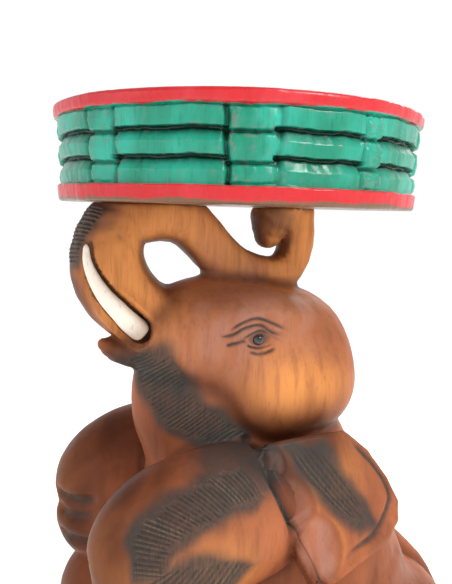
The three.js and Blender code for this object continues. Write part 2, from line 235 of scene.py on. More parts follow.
def ear_flap(space):
    back, down, out = ear_place(space)
    around = outline_distance(back, down, EAR_OUTLINE) + EAR_EDGE
    across = np.abs(out - ear_bow(back)) - EAR_THICKNESS / 2 + EAR_EDGE
    outside = np.hypot(np.maximum(around, 0), np.maximum(across, 0))
    return np.minimum(np.maximum(around, across), 0) + outside - EAR_EDGE


# Each group joins its masses in turn. The number is the fillet's width where a mass meets
# the ones before it.
TORSO = [
    (ellipsoid((0, 45, 140), (88, 100, 120), 12), 1),
    (ellipsoid((0, 118, 60), (118, 112, 86)), 25),
    (ellipsoid((0, 20, 16), (74, 92, 54)), 16),
    (limb([(0, 48, 265, 52), (0, 64, 205, 66), (0, 84, 140, 82)], 1.1), 25),
    (ellipsoid((0, -15, 215), (66, 58, 92)), 18),
    (ellipsoid((0, -14, 306), (47, 72, 88), -6), 12),
]
HEAD = [
    (ellipsoid((0, 51, 329), (64, 57, 61)), 1),
    (ellipsoid((0, 0, 345), (62, 84, 57), -8), 20),
    (ellipsoid((28, 38, 312), (46, 62, 48)), 14),
    (ellipsoid((42, 2, 372), (24, 44, 18)), 16),
    (ellipsoid((0, -54, 354), (42, 40, 28), 25), 20),
]
TRUNK_STATIONS = [
    (0, -40, 351, 25), (0, -70, 367, 27), (0, -98, 388, 30), (0, -109, 418, 29),
    (0, -97, 446, 25), (0, -64, 452, 22), (0, -40, 444, 20), (0, -22, 426, 19),
    (0, 1, 409, 17.5), (0, 30, 402, 16), (0, 50, 409, 15), (0, 58, 430, 15),
    (0, 56, 450, 16.5), (0, 54, 470, 18),
]
TRUNK = [
    (limb(TRUNK_STATIONS, 1.25, flat=0.84), 1),
    (limb([(0, 42, 470, 20), (0, 34, 452, 17), (0, 31, 436, 11)], 1.3), 4),
]
LIP = [(limb([(0, -46, 338, 20), (0, -78, 339, 14), (0, -98, 342, 11), (0, -110, 347, 5)], 1.5), 1)]
FORELEG = [
    (ellipsoid((74, -60, 216), (50, 78, 57), 16), 1),
    (ellipsoid((66, -12, 222), (46, 58, 52)), 20),
    (limb([(76, -86, 205, 44), (76, -90, 188, 40), (76, -92, 174, 43)], smooth=False), 5),
]
HIND_LEG = [
    (limb([(92, 110, 66, 62), (104, 30, 76, 58), (104, -46, 82, 54), (100, -78, 84, 50)]), 1),
    (limb([(96, 90, 40, 50), (98, -40, 34, 46)], smooth=False), 16),
    (limb([(100, -74, 78, 48), (100, -80, 45, 46), (100, -86, 14, 50)]), 8),
]
EAR = [((ear_flap, EAR_LOW, EAR_HIGH), 1)]
TAIL = [
    (limb([(0, 158, 156, 11), (1, 206, 112, 9), (10, 228, 68, 7), (20, 224, 28, 11)]), 1),
]
GROUPS = {"torso": TORSO, "head": HEAD, "trunk": TRUNK, "lip": LIP, "foreleg": FORELEG,
          "hind_leg": HIND_LEG, "ear": EAR, "tail": TAIL}
# The fillet where each group meets the ones before it.
GROUP_FILLETS = {"torso": 1, "head": 5, "trunk": 9, "lip": 3, "foreleg": 4, "hind_leg": 6,
                 "ear": 1.5, "tail": 3}

TUSK_STATIONS = [
    (24, -87, 361), (29, -97, 369), (31, -106, 378), (30, -116, 389), (28, -124, 402),
    (27, -129, 415), (26, -130, 428),
]
TUSK_RADIUS, TUSK_TIP_RADIUS, TUSK_THINNING = 8.4, 1.9, 1.5


def tusk_radius(part):
    """The tusk thins from its root, part 0, to its tip, part 1."""
    return TUSK_RADIUS + (TUSK_TIP_RADIUS - TUSK_RADIUS) * part**TUSK_THINNING


TUSK_CLEARANCE = 1.0
TUSK_CHANNEL = limb([
    (*station, tusk_radius(number / (len(TUSK_STATIONS) - 1)) + TUSK_CLEARANCE)
    for number, station in enumerate(TUSK_STATIONS)
])


FIELD_MARGIN = 12  # how far outside its own box a mass still matters


def group_field(space, masses):
    field = np.full(space.shape, FAR, np.float32)
    for (distance, low, high), fillet in masses:
        margin = fillet + FIELD_MARGIN
        index, near = space.near(low - margin, high + margin)
        field[index] = smooth_min(field[index], distance(near), fillet)
    return field


def mirrored_field(space, masses):
    """A field that is the same on both sides, worked out on the left one."""
    if space.x.ndim < 3:
        return group_field(Space(np.abs(space.x), space.y, space.z), masses)
    half = group_field(Space(space.x[space.x.ravel() >= 0], space.y, space.z), masses)
    return np.concatenate([half[::-1], half])


def group_fields(space):
    """Every group's own field. Only the tail hangs to one side."""
    return {name: (group_field if name == "tail" else mirrored_field)(space, masses)
            for name, masses in GROUPS.items()}


def figure_field(space):
    figure, fields = np.full(space.shape, FAR, np.float32), group_fields(space)
    for name, fillet in GROUP_FILLETS.items():
        figure = smooth_min(figure, fields[name], fillet)
    figure = np.maximum(figure, -mirrored_field(space, [(TUSK_CHANNEL, 1)]))
    return np.maximum(figure, np.maximum(space.z - FIGURE_TOP, -space.z))


# ---- the figure as a mesh

CELL = 3.4
FIELD_LOW, FIELD_HIGH = (-168, -158, -10), (168, 246, 470)


def raw_figure():
    """Points and quads around the field, from a grid that is the same on both sides."""
    half = np.arange(CELL / 2, FIELD_HIGH[0], CELL)
    x = np.concatenate([-half[::-1], half])
    y, z = (np.arange(FIELD_LOW[i], FIELD_HIGH[i], CELL) for i in (1, 2))
    field = figure_field(Space(x[:, None, None], y[None, :, None], z[None, None, :]))
    grid = openvdb.FloatGrid(FAR)
    grid.copyFromArray(np.ascontiguousarray(field, np.float32))
    points, quads = grid.convertToQuads(0.0)
    return np.array(points) * CELL + [x[0], y[0], z[0]], np.array(quads)


def folded(points, directions=None):
    """Points, or directions at those points, as they lie on the left half."""
    side = np.ones((len(points), 3))
    side[:, 0] = np.sign(points[:, 0])
    return side * (points if directions is None else directions)


def refined(points, quads, wanted):
    """The mesh with smaller faces where wanted(centres, level) says so, at most twice over."""
    mesh = bmesh.new()
    vertices = [mesh.verts.new(p) for p in points]
    for quad in quads:
        mesh.faces.new([vertices[i] for i in quad])
    bmesh.ops.recalc_face_normals(mesh, faces=mesh.faces)
    for level in (1, 2):
        faces = list(mesh.faces)
        centres = np.array([face.calc_center_median() for face in faces])
        chosen = wanted(centres, level)
        edges = {edge for face, take in zip(faces, chosen) if take for edge in face.edges}
        bmesh.ops.subdivide_edges(mesh, edges=sorted(edges, key=lambda e: e.index), cuts=1,
                                  use_grid_fill=True)
        for parts in (mesh.verts, mesh.edges, mesh.faces):
            parts.index_update()
    bmesh.ops.triangulate(mesh, faces=mesh.faces)
    return mesh


def slope_at(points, step=0.6):
    """The field's value and its slope at each point."""
    value = figure_field(Space(*points.T))
    slope = np.stack([(figure_field(Space(*(points + step * axis).T)) - value) / step
                      for axis in np.eye(3)], 1)
    return value, slope


def settled(points, rounds=2, longest=1.6):
    """Points moved onto the surface, with the surface's outward direction there."""
    for _ in range(rounds):
        value, slope = slope_at(points)
        steepness = np.maximum((slope**2).sum(1), 0.3)
        points = points - np.clip(value / steepness, -longest, longest)[:, None] * slope
    length = np.maximum(np.linalg.norm(slope, axis=1), 1e-6)
    return points, slope / length[:, None]


# ---- carved details


def near_line(points, line, reach):
    """Distance to a line, and how far along it, in millimetres. Beyond reach it isn't exact."""
    line = smooth_line(line, 1.0)
    travelled = travel(line)
    away, along = np.full(len(points), 1e3), np.zeros(len(points))
    inside = ((points > line.min(0) - reach) & (points < line.max(0) + reach)).all(1)
    for chunk in np.array_split(np.flatnonzero(inside), max(1, inside.sum() // 4000)):
        gaps = np.linalg.norm(points[chunk, None] - line[None], axis=2)
        best = gaps.argmin(1)
        away[chunk], along[chunk] = gaps[np.arange(len(chunk)), best], travelled[best]
    return away, along, travelled[-1]


def even_points(line, count):
    """Evenly spaced points along a smooth line."""
    line = smooth_line(line, 1.0)
    travelled = travel(line)
    places = np.linspace(0, travelled[-1], count)
    return np.stack([np.interp(places, travelled, line[:, i]) for i in range(3)], 1)


STRIP_REACH = 14


class Strip:
    """A strip of the surface between two lines, crossed by rungs from the first to the second."""

    def __init__(self, first, second, count=140):
        self.starts, self.across = even_points(first, count), even_points(second, count)
        self.across = self.across - self.starts
        middle = self.starts + self.across / 2
        onward = np.gradient(middle, axis=0)
        self.travelled = travel(middle)
        unit = self.across / np.linalg.norm(self.across, axis=1)[:, None]
        onward = onward - (onward * unit).sum(1)[:, None] * unit
        self.onward = onward / np.linalg.norm(onward, axis=1)[:, None]
        self.length = self.travelled[-1]
        ends = np.vstack([self.starts, self.starts + self.across])
        self.low, self.high = ends.min(0) - STRIP_REACH, ends.max(0) + STRIP_REACH

    def place(self, points):
        """Along in millimetres, share of the way across, and how far off the strip."""
        along, share = np.full(len(points), -99.0), np.full(len(points), -9.0)
        off = np.full(len(points), 99.0)
        inside = ((points > self.low) & (points < self.high)).all(1)
        for chunk in np.array_split(np.flatnonzero(inside), max(1, inside.sum() // 3000)):
            offset = points[chunk, None] - self.starts[None]
            part = (offset * self.across).sum(2) / (self.across**2).sum(1)
            rest = offset - np.clip(part, 0, 1)[..., None] * self.across
            rows, best = np.arange(len(chunk)), np.linalg.norm(rest, axis=2).argmin(1)
            ahead = (rest[rows, best] * self.onward[best]).sum(1)
            along[chunk] = self.travelled[best] + ahead
            share[chunk] = part[rows, best]
            off[chunk] = np.linalg.norm(rest[rows, best] - ahead[:, None] * self.onward[best], axis=1)
        return along, share, off


def cuts(along, pitch, seed):
    """Depths from 0 to 1 of side-by-side V cuts, unevenly spaced, and each point's cut number."""
    phase = along / pitch + 0.3 * wander(along, 0.09, seed)
    return np.clip(1.25 * (1 - np.abs(2 * (phase % 1) - 1)) - 0.25, 0, 1), np.floor(phase).astype(int)


MOST_CUTS = 400  # more than any strip has


def ragged(share, number, seed, before=0.16, after=0.2):
    """1 within each cut's own length, and 0 past its ends."""
    lengths = np.random.default_rng(seed).random((2, MOST_CUTS))
    start = before * lengths[0][number % MOST_CUTS]
    stop = 1 - after * lengths[1][number % MOST_CUTS]
    begun = smoothstep(start - 0.06, start + 0.08, share)
    return begun * (1 - smoothstep(stop - 0.1, stop + 0.04, share))


def on_ear(places, lift=9.0):
    """3-D points from places (backwards, downwards) on the ear's outer face."""
    return [EAR_ORIGIN + a * EAR_BACK + b * EAR_DOWN + (ear_bow(a) + lift) * EAR_OUT for a, b in places]


LEG_HATCH = Strip(
    [(95, -29, 270), (99, -52, 267), (102, -74, 261), (103, -96, 250), (104, -111, 236),
     (109, -114, 222), (112, -112, 206)],
    [(111, -15, 251), (118, -44, 243), (120, -65, 237), (120, -82, 229), (120, -89, 219),
     (121, -91, 206)],
)
LOW_HATCH = Strip(
    [(114, -108, 200), (118, -90, 193), (120, -66, 192), (118, -40, 190)],
    [(120, -86, 215), (123, -72, 217), (124, -53, 218), (120, -30, 206)],
)
NECK_HATCH = Strip(
    [(16, -92, 338), (9, -85, 322), (18, -80, 304), (28, -70, 287), (38, -50, 275), (58, -30, 275)],
    [(33, -81, 347), (44, -67, 343), (42, -56, 328), (42, -45, 310), (46, -28, 296), (50, -4, 279)],
)
EAR_HATCH = Strip(
    on_ear([(12, 9), (23, 30), (35, 46), (51, 65), (67, 79)]),
    on_ear([(43, 13), (55, 29), (67, 49), (77, 65), (82, 77)]),
)
TRUNK_HATCH = Strip(
    [(0, -120, 455), (0, -131, 440), (0, -138, 424), (0, -139, 410)],
    [(24, -115, 455), (23, -123, 442), (21, -131, 426), (17, -134, 412)],
)
EAR_CRACK = [
    (51, -5, 273), (78, -6, 277), (92, -7, 274), (103, -6, 260), (109, 0, 243), (112, 9, 225),
    (118, 15, 207), (125, 23, 190), (128, 28, 172),
]
EAR_RIM_GROOVE = on_ear([(72, 1), (77, 14), (95, 34), (104, 49), (106, 62), (95, 75), (80, 86),
                         (56, 94), (38, 103)])
# Hollows down the ear's front edge: backwards, downwards, radius.
EAR_SCOOPS = [(1, 21, 12), (12, 55, 20), (29, 86, 20)]
SCOOP_DEPTH = 6.5
# Wrinkles round the forefoot, and the edge of its sole.
FOREFOOT_FOLDS = [
    [(80, -134, 201), (61, -133, 198), (44, -120, 198), (32, -104, 203)],
    [(80, -135, 185), (61, -134, 183), (44, -121, 184), (32, -104, 188)],
    [(80, -133, 162), (60, -133, 161), (44, -118, 160), (30, -102, 160)],
]
TRUNK_CHECKS = [
    [(29, -72, 457), (30, -71, 447), (30, -72, 440)], [(29, -79, 456), (30, -80, 441)],
    [(29, -96, 450), (30, -97, 432), (30, -95, 421)], [(28, -56, 456), (29, -54, 450)],
    [(26, -42, 452), (27, -43, 441)], [(28, -104, 444), (29, -105, 430)],
    [(20, 57, 452), (19, 60, 436), (18, 58, 424)], [(19, 46, 450), (18, 48, 438)],
]
EYE_SPOT = np.array([65, -3, 358.0])
EYE_HOLLOW, EYE_HOLLOW_DEPTH = (30, 10, 5.4), 2.2
LID_CREASES = [
    [(56, -38, 359), (61, -25, 361), (65, -15, 367), (66, -3, 369), (65, 7, 363), (63, 22, 358)],
    [(60, -30, 362), (65, -18, 371), (66, -6, 375), (66, 6, 371), (64, 25, 362)],
    [(62, -19, 356), (65, -10, 362), (66, -2, 364.5), (66, 6, 361), (63, 20, 353)],
    [(58, -30, 352), (62, -19, 355), (64, -11, 357)],
    [(62, -15, 354), (63, -4, 350.5), (64, 5, 352), (63, 11, 356)],
    [(62, -12, 348), (63, -2, 345.5), (63, 8, 348), (62, 14, 352)],
]
UPPER_LID = [(62, -17, 357.5), (66, -9, 362.5), (67, -2, 364), (66, 6, 361.5), (63, 12, 357)]
LOWER_LID = [(62, -14, 355), (64, -4, 351.5), (64, 5, 353), (63, 11, 356)]


def wanted(centres, level):
    """Whether faces around these centres are to be smaller."""
    centres = folded(centres)
    take = np.zeros(len(centres), bool)
    for strip in (LEG_HATCH, LOW_HATCH, NECK_HATCH, EAR_HATCH, TRUNK_HATCH):
        along, share, off = strip.place(centres)
        take |= ((share > -0.12) & (share < 1.12) & (off < STRIP_REACH)
                 & (along > -4) & (along < strip.length + 4))
    for line in LID_CREASES:
        take |= near_line(centres, line, 12)[0] < 3.5
    take |= near_line(centres, EAR_CRACK, 12)[0] < 8
    take |= np.linalg.norm(centres - EYE_SPOT, axis=1) < 13
    if level == 1:
        take |= near_line(centres, EAR_RIM_GROOVE, 10)[0] < 6
        take |= near_line(centres, TUSK_STATIONS, 22)[0] < 15
        back, down, out = ear_place(Space(*centres.T))
        take |= (outline_distance(back, down, EAR_OUTLINE) < 3) & (out > -2) & (out < 26)
    return take


def crease(points, line, width, taper=True):
    """A V cut along a line, 0 to 1 deep. It may run out at both ends."""
    away, along, length = near_line(points, line, 3 * width + 2)
    ends = smoothstep(0, 0.2 * length, along) * smoothstep(0, 0.25 * length, length - along)
    return (ends if taper else 1) * np.clip(1 - away / width, 0, 1) ** 1.3


class Carving:
    """How far in the knife went at each point, how much staining and painted shade it carries, and how
    much painted greyish sheen and shade.
    """

    def __init__(self, points, group):
        self.actual, self.points, self.group = points, folded(points), group
        self.depth, self.stain, self.grey, self.scratch, self.ridge = np.zeros((5, len(points)))
        self.uneven = rough(points, 0.06, 3)

    def hatch(self, strip, groups, pitch, depth, seed, lengthwise=False, scratch=0.4):
        """Cuts across a strip, or along it, and the stain rubbed into them."""
        along, share, off = strip.place(self.points)
        width = np.linalg.norm(strip.across, axis=1).mean()
        where = within(self.group, *groups) & (off < 13)
        if lengthwise:
            wave, number = cuts(share * width, pitch, seed)
            mask = ragged(along / strip.length, number, seed, 0.1, 0.2)
            mask *= smoothstep(-0.02, 0.1, share) * (1 - smoothstep(0.92, 1.02, share))
        else:
            wave, number = cuts(along, pitch, seed)
            mask = ragged(share, number, seed)
            mask *= smoothstep(-2, 3, along) * (1 - smoothstep(strip.length - 3, strip.length + 2, along))
        mask = mask * where
        self.depth += depth * wave * mask
        self.stain = np.maximum(self.stain, mask * (0.8 + 0.2 * wave))
        bright = np.random.default_rng(seed + 50).random(MOST_CUTS)[number % MOST_CUTS]
        ridge = mask * bright**3 * (1 - smoothstep(0.0, 0.3, wave))
        self.scratch = np.maximum(self.scratch, scratch * ridge)
        outside = np.maximum(np.maximum(-share, share - 1) * width,
                             np.maximum(-along, along - strip.length))
        halo = (1 - smoothstep(-2, 9, outside + 5 * self.uneven)) * where
        self.stain = np.maximum(self.stain, 0.88 * halo)

    def cut(self, line, groups, width, depth, stain, taper=True):
        away = crease(self.points, line, width, taper) * within(self.group, *groups)
        self.depth += depth * away
        self.stain = np.maximum(self.stain, stain * smoothstep(0.15, 0.8, away))


GROUP_NAMES = list(GROUPS)


def within(group, *names):
    """Which points belong to any of these groups."""
    return np.isin(group, [GROUP_NAMES.index(name) for name in names])


def carve_hatches(work):
    work.hatch(LEG_HATCH, ("foreleg", "torso"), pitch=3.4, depth=1.5, seed=11, scratch=0.45)
    work.hatch(LOW_HATCH, ("foreleg",), pitch=5.0, depth=1.5, seed=16)
    work.hatch(NECK_HATCH, ("torso", "head", "lip"), pitch=3.2, depth=1.3, seed=12)
    work.hatch(EAR_HATCH, ("ear",), pitch=4.4, depth=1.4, seed=13, lengthwise=True, scratch=0.25)
    work.hatch(TRUNK_HATCH, ("trunk",), pitch=3.4, depth=1.9, seed=14)


def carve_ear(work):
    ear = within(work.group, "ear")
    back, down, out = ear_place(Space(*work.points.T))
    outer = ear & (out > ear_bow(back) + 2)
    bowls = np.zeros(len(back))
    for centre_back, centre_down, radius in EAR_SCOOPS:
        reach = np.hypot(back - centre_back, (down - centre_down) * 0.78) / radius
        bowls = np.maximum(bowls, np.clip(1 - reach**2, 0, 1))
    work.depth += SCOOP_DEPTH * bowls * outer
    # The ear's hollows get painted greyish shade.
    work.grey = np.maximum(work.grey, smoothstep(0.1, 0.6, bowls) * outer)
    beside = np.min([np.hypot(back - b, down - d) / r for b, d, r in EAR_SCOOPS], 0)
    work.ridge = outer * (1 - smoothstep(0.0, 0.16, bowls)) * (1 - smoothstep(1.05, 1.3, beside))
    work.cut(EAR_RIM_GROOVE, ("ear",), width=4.4, depth=3.0, stain=0.85)
    # The crack is cut into the wood, and its full darkness is painted shadow where the ear lies over the
    # foreleg.
    work.cut(EAR_CRACK, ("ear", "foreleg", "torso"), width=6.2, depth=7.5, stain=1.0, taper=False)


def carve_face(work):
    face = ("head", "trunk", "torso")
    eye = (work.points - EYE_SPOT) / EYE_HOLLOW
    socket = np.clip(1 - (eye**2).sum(1), 0, 1) * within(work.group, *face)
    work.depth += EYE_HOLLOW_DEPTH * np.sqrt(socket)
    work.stain = np.maximum(work.stain, 0.5 * smoothstep(0.05, 0.5, socket))
    for line in LID_CREASES:
        work.cut(line, face, width=2.7, depth=2.5, stain=0.95)
    for line in (UPPER_LID, LOWER_LID):
        work.cut(line, face, width=3.2, depth=-1.9, stain=0)
    for line in TRUNK_CHECKS:
        work.cut(line, face, width=1.9, depth=2.0, stain=0.95)


SOCKET_GAP, SOCKET_RIM, SOCKET_PART, SOCKET_STEPS = 3.4, 9.0, 0.3, 80
SOCKET_DEPTH, SOCKET_RIM_RISE = 2.8, 3.0
TUSK_BACKWARDS = np.array([0, 0.84, 0.54])  # square to the tusk, towards the eye


def carve_tusk_socket(work):
    """A gap behind the tusk, darkened with painted shadow, and a raised rim around its root."""
    away, along, length = near_line(work.points, TUSK_STATIONS, 24)
    line = even_points(TUSK_STATIONS, SOCKET_STEPS)
    part = along / length
    beside = work.points - line[np.round(part * (SOCKET_STEPS - 1)).astype(int)]
    behind = smoothstep(-0.3, 0.5, (beside @ TUSK_BACKWARDS) / np.maximum(away, 1))
    clear = away - tusk_radius(part)
    near = within(work.group, "head", "trunk", "lip")
    gap = np.clip(1 - np.abs(clear - 1) / SOCKET_GAP, 0, 1) * near * (0.35 + 0.65 * behind)
    work.depth += SOCKET_DEPTH * gap
    # Painted shadow in the gap, darker on the side towards the eye.
    work.stain = np.maximum(work.stain, 0.65 * smoothstep(0.2, 0.8, gap))
    rim = smoothstep(SOCKET_GAP, SOCKET_GAP + 2, clear) * near
    rim *= 1 - smoothstep(SOCKET_RIM - 3, SOCKET_RIM + 2, clear)
    work.depth -= SOCKET_RIM_RISE * rim * (1 - smoothstep(SOCKET_PART, SOCKET_PART + 0.25, part))


def carve_feet(work):
    for line in FOREFOOT_FOLDS:
        work.cut(line, ("foreleg", "hind_leg", "torso"), width=9.0, depth=8.0, stain=0.65)


def carve_skin(work):
    """The knife's broad, shallow facets, and fine checks in the dried wood."""
    points = work.actual
    work.depth += 0.55 * rough(points, 0.045, 1) + 0.3 * rough(points * [1.6, 1.6, 0.7], 0.1, 2)


UNCUT_TOP, UNCUT_FOOT = 2, 1  # the flat faces under the seat and on the floor stay whole


def carve_figure(points, group):
    work = Carving(points, group)
    for carve in (carve_hatches, carve_ear, carve_face, carve_tusk_socket, carve_feet, carve_skin):
        carve(work)
    flat = (points[:, 2] > FIGURE_TOP - UNCUT_TOP) | (points[:, 2] < UNCUT_FOOT)
    work.depth[flat] = 0
    return work


# ---- meshes into Blender


def add_object(name, data):
    piece = bpy.data.objects.new(name, data)
    bpy.context.scene.collection.objects.link(piece)
    return piece


def set_attributes(mesh, **values):
    for name, value in values.items():
        data = mesh.attributes.new(name, "FLOAT", "POINT").data
        data.foreach_set("value", np.array(value, np.float32))


def place(piece, node):
    """The finished piece stands for a CAD node: it rides on the root body, and the node is hidden."""
    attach(piece, "root")
    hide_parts(node)


def mesh_from(name, points, faces):
    mesh = bpy.data.meshes.new(name)
    mesh.from_pydata((np.array(points) * MM).tolist(), [], [list(face) for face in faces])
    mesh.shade_smooth()
    return mesh


def carved_elephant():
    shape = refined(*raw_figure(), wanted)
    points, outward = settled(np.array([v.co for v in shape.verts]))
    fields = group_fields(Space(*points.T))
    distances = np.stack([fields[name] for name in GROUP_NAMES])
    group = np.argmin(distances, 0)
    # Painted shade in the folds where two masses meet.
    fold = 1 - smoothstep(0.5, FOLD_REACH, np.partition(distances, 1, 0)[1])
    work = carve_figure(points, group)
    points = points - outward * work.depth[:, None]
    points[:, 2] = np.clip(points[:, 2], 0, FIGURE_TOP)
    for vertex, point in zip(shape.verts, points):
        vertex.co = point * MM
    mesh = bpy.data.meshes.new("elephant")
    shape.to_mesh(mesh)
    shape.free()
    mesh.shade_smooth()
    set_attributes(
        # Painted shade in folds, in hollows, on undersides and on the legs' forward faces.
        mesh, scratch=work.scratch, dusk=dusk(work.points, folded(points, outward), group, fold),
        # Dark staining in the cuts, with painted shade and shadow in the crack, the tusk's gap and the
        # listed patches.
        stain=np.maximum(work.stain, 0.8 * near_places(work.points, STAIN_PLACES)),
        # Painted greyish sheen on the head and painted greyish shade in the ear's hollows.
        grey=np.maximum(work.grey, near_places(work.points, HAZE_PLACES)),
        # Lighter yellow wood with painted highlight, and painted highlight along the ear's ridges.
        gold=np.maximum(near_places(work.points, GOLD_PLACES), 0.3 * work.ridge),
    )
    piece = add_object("elephant", mesh)
    mesh.materials.append(figure_wood())
    place(piece, "carved_elephant")


# Where the wood is lighter and yellower, partly its own tone and partly painted highlight on the cheek,
# skull, legs and trunk: centre, reach and strength.
GOLD_PLACES = [
    ((72, 18, 318), 34, 1.0), ((66, 60, 318), 28, 0.5), ((50, -60, 350), 26, 0.25),
    ((122, -50, 200), 30, 0.7), ((108, -108, 190), 26, 0.6), ((32, -98, 400), 44, 1.0),
    ((28, -60, 440), 36, 0.9), ((24, 24, 408), 42, 1.0), ((22, 60, 440), 34, 1.0),
    ((26, -4, 430), 28, 1.0), ((72, -136, 215), 26, 0.7), ((104, 60, 262), 22, 0.5),
    ((30, -104, 370), 18, 0.7),
]
# Where a paler, greyer sheen is painted on the head.
HAZE_PLACES = [((62, -36, 352), 34, 0.7), ((46, -10, 396), 44, 0.8), ((60, 30, 378), 30, 0.5)]
# Where shade is painted on, darker: centre, reach and strength.
DUSK_PLACES = [
    ((65, -3, 364), 15, 0.5), ((52, 64, 356), 28, 0.45), ((20, -14, 398), 30, 0.3),
    ((50, 40, 390), 30, 0.4), ((60, -20, 268), 30, 0.9),
    ((84, -10, 274), 20, 0.9), ((90, 40, 285), 24, 0.9), ((30, -80, 275), 34, 0.7),
    ((44, -112, 240), 26, 0.6), ((0, -136, 392), 18, 0.9), ((0, -125, 372), 16, 0.8),
    ((128, 20, 180), 24, 0.6), ((10, -104, 338), 16, 1.0), ((60, 40, 276), 30, 0.6),
    ((82, -84, 262), 26, 0.6), ((14, 34, 446), 15, 0.8), ((60, -110, 205), 22, 0.5),
]
# Darker patches, mostly painted shade under the ear's front edge, the lip and the seat, with dark
# staining on the sole.
STAIN_PLACES = [
    ((92, -14, 272), 20, 1.2), ((99, -34, 266), 24, 1.3), ((88, -30, 272), 20, 1.0),
    ((78, -26, 277), 24, 1.3), ((60, -36, 268), 14, 0.8), ((12, -96, 334), 12, 1.0),
    ((30, -84, 338), 9, 0.5), ((118, -92, 200), 12, 0.5), ((100, 24, 284), 16, 0.8),
    ((20, -112, 458), 12, 0.7), ((20, 30, 458), 10, 0.6), ((60, -132, 158), 12, 0.9),
]
# The dark of folds between masses is painted shade.
FOLD_REACH = 11.0  # how far the dark of a fold between two masses spreads
# Openings that the trunk's inner faces turn to; the faces turned into them get painted shade.
TRUNK_HOLLOWS = [(0, -55, 408), (0, 14, 438)]


def near_places(points, places):
    total = np.zeros(len(points))
    for centre, reach, strength in places:
        total += strength * np.exp(-((points - centre) ** 2).sum(1) / reach**2)
    return np.clip(total, 0, 1)


# Painted shade: darker at the listed places, on faces turned down, in folds between masses, on the legs'
# faces turned forward, and on the trunk's faces turned into its openings.
def dusk(points, outward, group, fold):
    shade = near_places(points, DUSK_PLACES) + 0.4 * np.clip(-outward[:, 2], 0, 1) + 0.85 * fold
    legs = within(group, "foreleg", "hind_leg")
    shade += 0.9 * legs * smoothstep(0.1, 0.85, -outward[:, 1])
    trunk = within(group, "trunk")
    for hollow in TRUNK_HOLLOWS:
        inwards = np.array(hollow) - points
        inwards /= np.linalg.norm(inwards, axis=1)[:, None]
        shade += 0.75 * trunk * smoothstep(0.25, 0.7, (inwards * outward).sum(1))
    return np.clip(shade, 0, 1)


# ---- the seat

# Height above the seat's underside, and how far in from the wall: the rims and three bars.
BAR_PROFILE = [
    (0, 2.2), (1.2, 0.7), (3.2, 0.4), (11.7, 0.0), (12.3, 0.9), (12.7, 3.4), (21.8, 2.6),
    (28.6, 6.6), (29.4, 9.4), (31.2, 9.8), (32.0, 3.4), (40.2, 2.6), (46.8, 6.8), (47.6, 9.6),
    (49.4, 9.9), (50.2, 3.2), (62.0, 2.8), (63.0, 4.8), (64.2, 0.9), (66.0, 0.2), (70.4, 0.0),
    (72.0, 0.8), (73, 2.4),
]
# The same across a joint, where each bar swells into a knuckle.
KNUCKLE_PROFILE = [
    (0, 2.2), (1.2, 0.7), (3.2, 0.4), (11.7, 0.0), (12.3, 0.9), (12.9, 3.8), (15, 1.9),
    (19.5, 1.2), (24.6, 2.4), (26.6, 6.5), (28.6, 2.3), (36, 1.2), (44, 2.3), (46.6, 6.8),
    (48.6, 2.3), (55, 1.2), (61, 2.2), (62.9, 4.2), (64.2, 0.7), (65.2, 0.1), (71.6, 0.0),
    (73, 1.6),
]
# Joints around the seat: degrees from FACING, half their width, and how they are cut.
JOINTS = [
    (-41, 5.2, "knuckle"), (3.6, 6.2, "facets"), (39.5, 3.4, "ridge"), (79, 5, "knuckle"),
    (122, 6, "facets"), (166, 5, "knuckle"), (-151, 5.5, "ridge"), (-118, 5, "facets"),
    (-86, 5, "knuckle"),
]
# Knife cuts straight down the band: degrees from FACING, half their width, depth.
BAND_CUTS = [
    (-46.3, 1.0, 3.0), (-35.6, 1.1, 3.6), (-27, 0.5, 0.8), (-3.1, 1.1, 5.0), (10.4, 1.5, 2.4),
    (36, 0.7, 2.2), (73.6, 1.1, 3.4), (84.6, 1.1, 3.2), (115, 1.2, 5), (128.5, 1.2, 2.5),
    (160.6, 1, 3), (171.6, 1, 3.2), (-157, 0.9, 2.6), (-145, 0.8, 2.2), (-123.6, 1.2, 5),
    (-112.6, 1.2, 2.6), (-91.4, 1, 3.2), (-80.6, 1, 3),
]
FACING = -22.0
SEAT_TAPER = 4.5
BAND = (12.3, 64.0)
BARE_EDGE = 3.2
SEAT_TURNS, SEAT_ROWS = ((760, 118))


def angle_gap(angles, centre):
    return (angles - centre + 180) % 360 - 180


def joint_cut(kind, gap, height, seed):
    """How far in the surface of a joint lies, beyond its own profile."""
    if kind == "facets":
        return 0.9 - 1.5 * np.abs((gap / 4.1 + 0.2) % 1 - 0.5)
    if kind == "ridge":
        spots = np.stack([gap * 0.9, height * 0.35, np.full(gap.shape, seed)], -1).reshape(-1, 3)
        return 0.4 + 1.5 * rough(spots, 1.0, seed).reshape(gap.shape)
    return 0.25 * (gap / 3) ** 2


